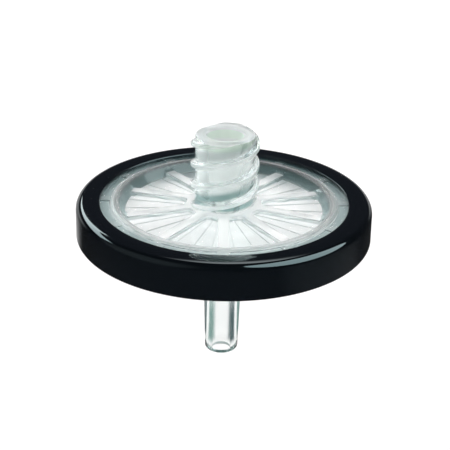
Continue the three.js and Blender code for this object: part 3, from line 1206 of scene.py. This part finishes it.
@dataclass
class InletHousing:
    """The upper shell with its female Luer inlet and double-start thread."""

    disc: DiscSizes
    chamber: float = 18.0
    flange_bottom: float = 17.75
    flange_top: float = 18.95
    chamber_radius: float = 11.9
    body_radius: float = 3.42
    foot_fillet: float = 0.22
    rim_fillet: float = 0.2
    mouth_radius: float = 2.14
    mouth_fillet: float = 0.12
    seat_fillet: float = 0.15
    edge_fillet: float = 0.1
    taper_depth: float = 7.5
    taper: float = 0.06
    bore_radius: float = 1.1
    thread_radius: float = 3.95
    thread_lead: float = 5.0
    thread_crest: float = 0.45
    thread_root: float = 1.0
    thread_foot_fillet: float = 0.14
    thread_crest_fillet: float = 0.13
    thread_bury: float = 0.05
    thread_starts: int = 2
    thread_exit: float = 79.0
    thread_start_height: float = 18.95
    thread_steps: int = 96

    def relief(self) -> Relief:
        """Sizes the relief on the shell's upper face.

        Returns:
            The relief.
        """
        return Relief(
            self.disc,
            depth=self.disc.ring_top - self.chamber,
            window=0.7,
            rise=0.3,
            rib_height=0.6,
        )

    def rim(self) -> float:
        """Height of the inlet's rim."""
        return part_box("inlet_housing")[1][2] / MM

    def body(self, relief: Relief) -> bpy.types.Object:
        """Turns the flange, plate, bead and inlet tube as one solid.

        Args:
            relief: The relief on the upper face.

        Returns:
            The solid.
        """
        rim = self.rim()
        seat = rim - self.taper_depth
        seat_radius = self.mouth_radius - self.taper_depth * self.taper / 2
        hub = self.chamber + relief.hub_top
        skirt = self.body_radius + self.foot_fillet * 1.2
        face = [
            Corner(corner.radius, self.chamber + corner.height, corner.fillet)
            for corner in relief.face_corners()
        ]
        lip_bottom = self.disc.ring_top - self.disc.upper_lip + CONTACT
        return turned("inlet_housing_clear", [
            Corner(self.bore_radius, self.chamber, self.edge_fillet),
            Corner(self.chamber_radius, self.chamber, self.edge_fillet),
            Corner(self.chamber_radius, self.flange_bottom),
            Corner(self.disc.cavity_radius + CONTACT, self.flange_bottom),
            Corner(self.disc.cavity_radius + CONTACT, lip_bottom),
            Corner(self.disc.lip_radius + CONTACT, lip_bottom),
            *face,
            Corner(self.disc.hub_radius - 0.3, self.chamber + relief.window + relief.rise),
            Corner(skirt, hub - 0.2),
            Corner(skirt, hub - 0.01),
            Corner(self.body_radius, hub - 0.01, self.foot_fillet),
            Corner(self.body_radius, rim, self.rim_fillet),
            Corner(self.mouth_radius, rim, self.mouth_fillet),
            Corner(seat_radius, seat, self.seat_fillet),
            Corner(self.bore_radius, seat, self.edge_fillet),
        ])

    def thread(self) -> bpy.types.Object:
        """Winds the two starts of the lock thread, trimmed just below the rim.

        Returns:
            The thread as one mesh.
        """
        low = self.thread_start_height
        half_root, half_crest = self.thread_root / 2, self.thread_crest / 2
        flank_foot, buried_foot = half_root - 0.04, half_root + 0.2
        buried, surface = self.body_radius - self.thread_bury, self.body_radius + 0.01
        section = [
            Corner(buried, low - buried_foot),
            Corner(surface, low - flank_foot, self.thread_foot_fillet),
            Corner(self.thread_radius, low - half_crest, self.thread_crest_fillet),
            Corner(self.thread_radius, low + half_crest, self.thread_crest_fillet),
            Corner(surface, low + flank_foot, self.thread_foot_fillet),
            Corner(buried, low + buried_foot),
        ]
        piece = trace("thread", section, 4)
        bpy.ops.object.mode_set(mode="OBJECT")
        turns = math.ceil((self.rim() - low) / self.thread_lead) + 1
        wind = piece.modifiers.new("wind", "SCREW")
        wind.iterations = turns
        wind.screw_offset = self.thread_lead
        wind.steps = wind.render_steps = self.thread_steps
        bpy.ops.object.modifier_apply(modifier=wind.name)
        bpy.ops.object.mode_set(mode="EDIT")
        bpy.ops.mesh.select_all(action="SELECT")
        bpy.ops.mesh.fill_holes(sides=0)
        mend_skin()
        bpy.ops.mesh.select_all(action="SELECT")
        bpy.ops.mesh.bisect(
            plane_co=(0, 0, self.rim() - CONTACT),
            plane_no=(0, 0, 1),
            use_fill=True,
            clear_outer=True,
        )
        mend_skin()
        bpy.ops.object.mode_set(mode="OBJECT")
        copy_round(piece, self.thread_starts)
        start_angle = self.thread_exit + 360 * (low - self.rim()) / self.thread_lead
        face_angle(piece, start_angle)
        return piece

    def build(self) -> bpy.types.Object:
        """Makes the whole shell.

        Returns:
            The shell, in metres.
        """
        relief = self.relief()
        shell = self.body(relief)
        add_relief(shell, relief, self.chamber, 1)
        ribs = FlowRibs(
            count=30,
            first_angle=96,
            inner=2.6,
            wall=self.chamber_radius,
            face=self.chamber,
            tip=self.flange_bottom,
        )
        work(shell, ribs.build(), "UNION")
        work(shell, self.thread(), "UNION")
        to_metres(shell, CLEAR_SMOOTHING)
        return shell


@dataclass
class OutletHousing:
    """The lower shell with its male Luer slip outlet."""

    disc: DiscSizes
    chamber: float = 17.25
    membrane_seat: float = 17.5
    flange_top: float = 17.70
    chamber_radius: float = 11.9
    seat_radius: float = 12.65
    foot_radius: float = 4.1
    shoulder_radius: float = 2.9
    cone_length: float = 10.0
    tip_radius: float = 2.0
    tip_round: float = 0.35
    taper: float = 0.06
    bore_radius: float = 1.05
    mouth_chamfer: float = 0.3
    edge_fillet: float = 0.1
    seat_fillet: float = 0.05
    shoulder_fillet: float = 0.3

    def relief(self) -> Relief:
        """Sizes the relief on the shell's lower face.

        Returns:
            The relief.
        """
        return Relief(
            self.disc,
            depth=self.chamber - self.disc.ring_bottom,
            window=0.5,
            rise=0.1,
            rib_height=0.35,
            hub_hole=2.0,
        )

    def body(self, relief: Relief) -> bpy.types.Object:
        """Turns the flange, plate, bead and spigot as one solid.

        Args:
            relief: The relief on the lower face.

        Returns:
            The solid.
        """
        hub = self.chamber - relief.window - relief.rise
        cone_radius = self.tip_radius + self.cone_length * self.taper / 2
        face = [
            Corner(corner.radius, self.chamber - corner.height, corner.fillet)
            for corner in relief.face_corners()
        ]
        lip_top = self.disc.ring_bottom + self.disc.lower_lip - CONTACT
        return turned("outlet_housing_clear", [
            Corner(self.bore_radius, self.chamber, self.edge_fillet),
            Corner(self.chamber_radius, self.chamber, self.edge_fillet),
            Corner(self.chamber_radius, self.membrane_seat, self.seat_fillet),
            Corner(self.seat_radius, self.membrane_seat),
            Corner(self.seat_radius, self.flange_top, self.seat_fillet),
            Corner(self.disc.cavity_radius + CONTACT, self.flange_top),
            Corner(self.disc.cavity_radius + CONTACT, lip_top),
            Corner(self.disc.lip_radius + CONTACT, lip_top),
            *face,
            Corner(self.foot_radius + 0.1, hub),
            Corner(self.foot_radius, hub - 0.02, self.seat_fillet),
            Corner(self.shoulder_radius, self.cone_length + 0.6, self.shoulder_fillet),
            Corner(cone_radius, self.cone_length, self.shoulder_fillet),
            Corner(self.tip_radius, 0.0, self.tip_round),
            Corner(self.bore_radius + self.mouth_chamfer, 0.0, self.seat_fillet),
            Corner(self.bore_radius, self.mouth_chamfer, self.edge_fillet),
        ])

    def build(self) -> bpy.types.Object:
        """Makes the whole shell.

        Returns:
            The shell, in metres.
        """
        relief = self.relief()
        shell = self.body(relief)
        add_relief(shell, relief, self.chamber, -1)
        ribs = FlowRibs(
            count=20,
            first_angle=90,
            inner=2.55,
            wall=self.chamber_radius,
            face=self.chamber,
            tip=self.membrane_seat,
        )
        work(shell, ribs.build(), "UNION")
        to_metres(shell, CLEAR_SMOOTHING)
        return shell


@dataclass
class FilterMembrane:
    """The membrane disc that the shells pinch at its edge."""

    pinch_width: float = 0.7
    edge_ease: float = 0.03

    def build(self) -> bpy.types.Object:
        """Makes the disc, with a fine pressed line where the shells pinch it.

        Returns:
            The disc, in metres.
        """
        low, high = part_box("filter_membrane")
        radius = high[0] / MM
        bottom, top = low[2] / MM, high[2] / MM
        clear_selection()
        bpy.ops.mesh.primitive_cylinder_add(
            vertices=DISC_STEPS, radius=radius, depth=top - bottom
        )
        disc = bpy.context.object
        disc.name = "filter_membrane_sheet"
        bpy.ops.object.mode_set(mode="EDIT")
        bpy.ops.transform.translate(value=(0, 0, (top + bottom) / 2))
        ease_edges(
            lambda edge: abs(edge.verts[0].co.z - edge.verts[1].co.z) < MERGE,
            self.edge_ease,
        )
        pick(Element.FACE, lambda face: face.normal.z > 0.9 and len(face.verts) > 4)
        bpy.ops.mesh.inset(thickness=self.pinch_width - self.edge_ease)
        bpy.ops.transform.translate(value=(0, 0, -self.edge_ease / 2))
        bpy.ops.mesh.inset(thickness=self.pinch_width / 4)
        bpy.ops.transform.translate(value=(0, 0, self.edge_ease / 2))
        mend_skin()
        bpy.ops.object.mode_set(mode="OBJECT")
        to_metres(disc, SHEET_SMOOTHING)
        return disc


@dataclass
class OvermouldedRing:
    """The black ring moulded over the rims of the two shells."""

    disc: DiscSizes
    draft: float = 0.08
    top_round: float = 0.8
    bottom_round: float = 0.2
    lip_round: float = 0.15

    def build(self) -> bpy.types.Object:
        """Turns the ring.

        Returns:
            The ring, in metres.
        """
        disc = self.disc
        ring = turned("overmoulded_ring_black", [
            Corner(disc.lip_radius, disc.ring_top, self.lip_round),
            Corner(disc.ring_radius, disc.ring_top, self.top_round),
            Corner(disc.ring_radius + self.draft, disc.ring_bottom, self.bottom_round),
            Corner(disc.lip_radius, disc.ring_bottom, self.lip_round),
            Corner(disc.lip_radius, disc.ring_bottom + disc.lower_lip),
            Corner(disc.cavity_radius, disc.ring_bottom + disc.lower_lip),
            Corner(disc.cavity_radius, disc.ring_top - disc.upper_lip),
            Corner(disc.lip_radius, disc.ring_top - disc.upper_lip),
        ])
        to_metres(ring, BLACK_SMOOTHING)
        return ring


# ---- Studio ----


class LampShape(Enum):
    """The outline of a soft lamp's face."""

    ROUND = "ELLIPSE"
    PANEL = "RECTANGLE"


@dataclass(frozen=True)
class Softbox:
    """A soft lamp that faces the disc, with its place in degrees and its size in metres."""

    name: str
    shape: LampShape
    azimuth: float
    elevation: float
    distance: float
    width: float
    height: float
    radiance: float
    twist: float = 0.0
    colour: Colour = (0.93, 1.0, 1.0)
    in_diffuse: bool = True
    in_shine: bool = True

    def build(self, aim: Vector) -> None:
        """Adds the lamp and keeps it out of the camera's sight.

        Args:
            aim: The point that it faces.
        """
        data = bpy.data.lights.new(self.name, "AREA")
        data.shape = self.shape.value
        data.size, data.size_y = self.width, self.height
        fill = math.pi / 4 if self.shape is LampShape.ROUND else 1.0
        data.color = self.colour
        data.energy = self.radiance * math.pi * self.width * self.height * fill
        lamp = bpy.data.objects.new(self.name, data)
        bpy.context.scene.collection.objects.link(lamp)
        direction = toward(self.azimuth, self.elevation)
        lamp.location = aim + direction * self.distance
        lamp.rotation_mode = "QUATERNION"
        facing = direction.to_track_quat("Z", "Y")
        lamp.rotation_quaternion = facing @ Quaternion((0, 0, 1), math.radians(self.twist))
        lamp.visible_camera = False
        lamp.visible_diffuse = self.in_diffuse
        lamp.visible_glossy = self.in_shine
        lamp.visible_transmission = self.in_shine


@dataclass
class Studio:
    """The floor, the surrounding light, three soft lamps and the camera.

    Stretches on the floor are millimetres from its middle, and stretches of the sky are heights
    of a direction of length 1.
    """

    aim: Vector
    floor_size: float = 4.0
    shadow_share: float = 0.14
    glow: float = 0.91
    paper: Colour = (0.8, 0.8, 0.8)
    faint_gleam: float = 0.03
    floor_gleams: tuple[Patch, ...] = (
        Patch(100, 0, 55, 25, 0.6),
        Patch(-18, 0, 40, 10, 0.12),
        Patch(-115, 0, 90, 40, 0.03),
    )
    # Seen through clear plastic, the floor carries a painted shadow of the disc: dark teal round its
    # middle, white right under it, behind it and far off.
    open_floor: Patch = Patch(90, 0, 48, 16)
    open_middle: Stretch = (6.0, 3.0)
    open_distance: Stretch = (14.0, 24.0)
    side_floor: Patch = Patch(180, 0, 100, 70)
    painted_shadow_tone: Colour = (0.012, 0.055, 0.06)
    side_painted_shadow_tone: Colour = (0.18, 0.31, 0.28)
    floor_strength: float = 1.12
    back_gleam: Patch = Patch(100, 0, 55, 35)
    back_gleam_height: Stretch = (0.24, 0.1)
    sky_gleams: tuple[Patch, ...] = (Patch(-155, 30, 45, 15, 0.3), Patch(88, 39, 8, 4, 2.5))
    open_sky: Patch = Patch(90, 0, 75, 40)
    open_sky_height: Stretch = (0.45, 0.1)
    dusk: Colour = (0.10, 0.20, 0.19)
    front: Patch = Patch(-90, 10, 70, 30)
    front_fill: Colour = (0.95, 0.92, 0.93)
    fill: Colour = (0.09, 0.15, 0.16)

    def camera(self) -> None:
        """Sets the camera above the front of the disc, turned slightly about its view."""
        elevation, roll, distance = math.radians(25.78), math.radians(1.24), 0.124
        data = bpy.data.cameras.new("camera")
        data.lens = 84.32
        data.sensor_width = 36.0
        data.shift_x = 0.0032
        data.shift_y = 0.0092
        data.clip_start = 0.001
        camera = bpy.data.objects.new("camera", data)
        bpy.context.scene.collection.objects.link(camera)
        back = Vector((0, -math.cos(elevation), math.sin(elevation)))
        camera.location = self.aim + back * distance
        camera.rotation_mode = "QUATERNION"
        tilt = Quaternion((1, 0, 0), math.pi / 2 - elevation)
        camera.rotation_quaternion = tilt @ Quaternion((0, 0, 1), roll)
        bpy.context.scene.camera = camera

    def gleam(self, graph: Graph, way: object, patches: tuple[Patch, ...]) -> object:
        """Adds up the patches that glossy plastic mirrors, and a faint gleam all round.

        Args:
            graph: The nodes of the floor or the world.
            way: The direction, of length 1.
            patches: The patches.

        Returns:
            The strength.
        """
        return graph.total(*(graph.lobe(way, patch) for patch in patches), self.faint_gleam)

    def floor(self) -> None:
        """Lays a white floor that keeps a soft shadow, shows darker in glossy plastic, and carries a
        painted shadow of the disc where clear plastic shows it.
        """
        clear_selection()
        bpy.ops.mesh.primitive_plane_add(size=self.floor_size)
        floor = bpy.context.object
        floor.name = "floor"
        material, graph = new_material("white floor")
        place = graph.add("TexCoord").outputs["Object"]
        way = graph.add("VectorMath", {"operation": "NORMALIZE"}, n0=place).outputs[0]
        reach = graph.add("VectorMath", {"operation": "LENGTH"}, n0=place).outputs["Value"]
        mirrored = graph.add("Emission", Strength=self.gleam(graph, way, self.floor_gleams))
        # Painted shadow: what clear plastic shows of the floor is dark teal near the disc, and white
        # under its middle, behind it and far off.
        bright = graph.most(
            graph.lobe(way, self.open_floor),
            graph.over(reach, self.open_middle),
            graph.over(reach, self.open_distance),
        )
        aside = graph.lobe(way, self.side_floor)
        dim = graph.tone(aside, self.painted_shadow_tone, self.side_painted_shadow_tone)
        lit = graph.tone(bright, dim, WHITE)
        through = graph.add("Emission", Color=lit, Strength=self.floor_strength)
        glow = graph.add("Emission", Strength=self.glow)
        shaded = graph.add("BsdfDiffuse", Color=(self.shadow_share,) * 3)
        shown = graph.add("AddShader", n0=glow.outputs[0], n1=shaded.outputs[0])
        paper = graph.add("BsdfDiffuse", Color=self.paper)
        whole = graph.by_ray(paper, mirrored, through, shown)
        graph.add("OutputMaterial", Surface=whole.outputs[0])
        floor.data.materials.append(material)

    def surroundings(self) -> None:
        """Sets the world: white to look at, and dim above the horizon for glossy plastic."""
        world = bpy.data.worlds.new("surroundings")
        world.use_nodes = True
        bpy.context.scene.world = world
        graph = Graph(world.node_tree)
        way = graph.add("TexCoord").outputs["Generated"]
        height = graph.add("SeparateXYZ", Vector=way).outputs[2]
        low = graph.ramp(height, *self.back_gleam_height)
        behind = graph.times(graph.lobe(way, self.back_gleam), low)
        gleam = graph.total(behind, self.gleam(graph, way, self.sky_gleams))
        mirrored = graph.add("Background", Strength=gleam)
        near_floor = graph.ramp(height, *self.open_sky_height)
        open_sky = graph.times(graph.lobe(way, self.open_sky), near_floor)
        through = graph.add("Background", Color=graph.tone(open_sky, self.dusk, WHITE))
        shown = graph.add("Background", Color=WHITE)
        fill = graph.tone(graph.lobe(way, self.front), self.fill, self.front_fill)
        filled = graph.add("Background", Color=fill)
        whole = graph.by_ray(filled, mirrored, through, shown)
        graph.add("OutputWorld", Surface=whole.outputs[0])

    def lamps(self) -> tuple[Softbox, ...]:
        """Places the lamps: one at the right, and two behind that reach different rays.

        Returns:
            The lamps.
        """
        return (
            Softbox(
                "right softbox", LampShape.ROUND, azimuth=-10, elevation=50, distance=0.30,
                width=0.35, height=0.35, radiance=5.0, in_diffuse=False,
            ),
            Softbox(
                "back panel", LampShape.PANEL, azimuth=131, elevation=34, distance=0.30,
                width=0.255, height=0.068, radiance=5.0, twist=14, in_diffuse=False,
            ),
            Softbox(
                "back key", LampShape.PANEL, azimuth=90, elevation=21, distance=0.30,
                width=0.5, height=0.07, radiance=33.0, colour=(1.0, 0.84, 0.85), in_shine=False,
            ),
        )

    def build(self) -> None:
        """Sets the whole studio."""
        self.camera()
        self.floor()
        self.surroundings()
        for lamp in self.lamps():
            lamp.build(self.aim)
        bpy.context.scene.view_settings.view_transform = "Standard"


def dress(piece: bpy.types.Object, material: bpy.types.Material, node: str) -> None:
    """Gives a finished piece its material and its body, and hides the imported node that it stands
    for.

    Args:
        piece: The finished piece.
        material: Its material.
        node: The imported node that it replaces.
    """
    piece.data.materials.clear()
    piece.data.materials.append(material)
    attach(piece, BODY)
    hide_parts(node)
    log.info("%s stands for %s with %d faces", piece.name, node, len(piece.data.polygons))


def main() -> None:
    """Builds the studio and the four pieces."""
    disc = disc_from_frame()
    Studio(aim=Vector((0, 0, 0.016))).build()
    inlet = InletHousing(disc)
    tube = TubeLook(
        bottom=disc.ring_top - 0.5,
        rim=inlet.rim(),
        bore_reach=2.5,
        crest_reach=inlet.thread_radius,
        lead=inlet.thread_lead,
        exit_angle=inlet.thread_exit,
        rib_foot=disc.ring_top - 0.85,
        rib_reach=disc.window_rim,
        bead_reach=disc.bead_inner,
        moat_reach=disc.bead_outer,
    )
    hazy = ClearPlastic(
        "hazy clear plastic", gloss_low=0.1, gloss_high=0.16, matte_start=18.25, matte_full=18.15,
        tube=tube, milk=0.05, chamber_milk=0.8, tint=(0.55, 0.73, 0.71),
    )
    clear = ClearPlastic(
        "clear plastic", gloss_low=0.02, gloss_high=0.05, matte_start=17.05, matte_full=17.15,
        lip=0.3, index=1.58,
    )
    dress(OvermouldedRing(disc).build(), BlackPlastic().material(), "overmoulded_ring")
    dress(FilterMembrane().build(), MembraneSheet().material(), "filter_membrane")
    dress(OutletHousing(disc).build(), clear.material(), "outlet_housing")
    dress(inlet.build(), hazy.material(), "inlet_housing")


if __name__ == "__main__":
    logging.basicConfig(level=logging.INFO, format="%(name)s: %(message)s")
    main()
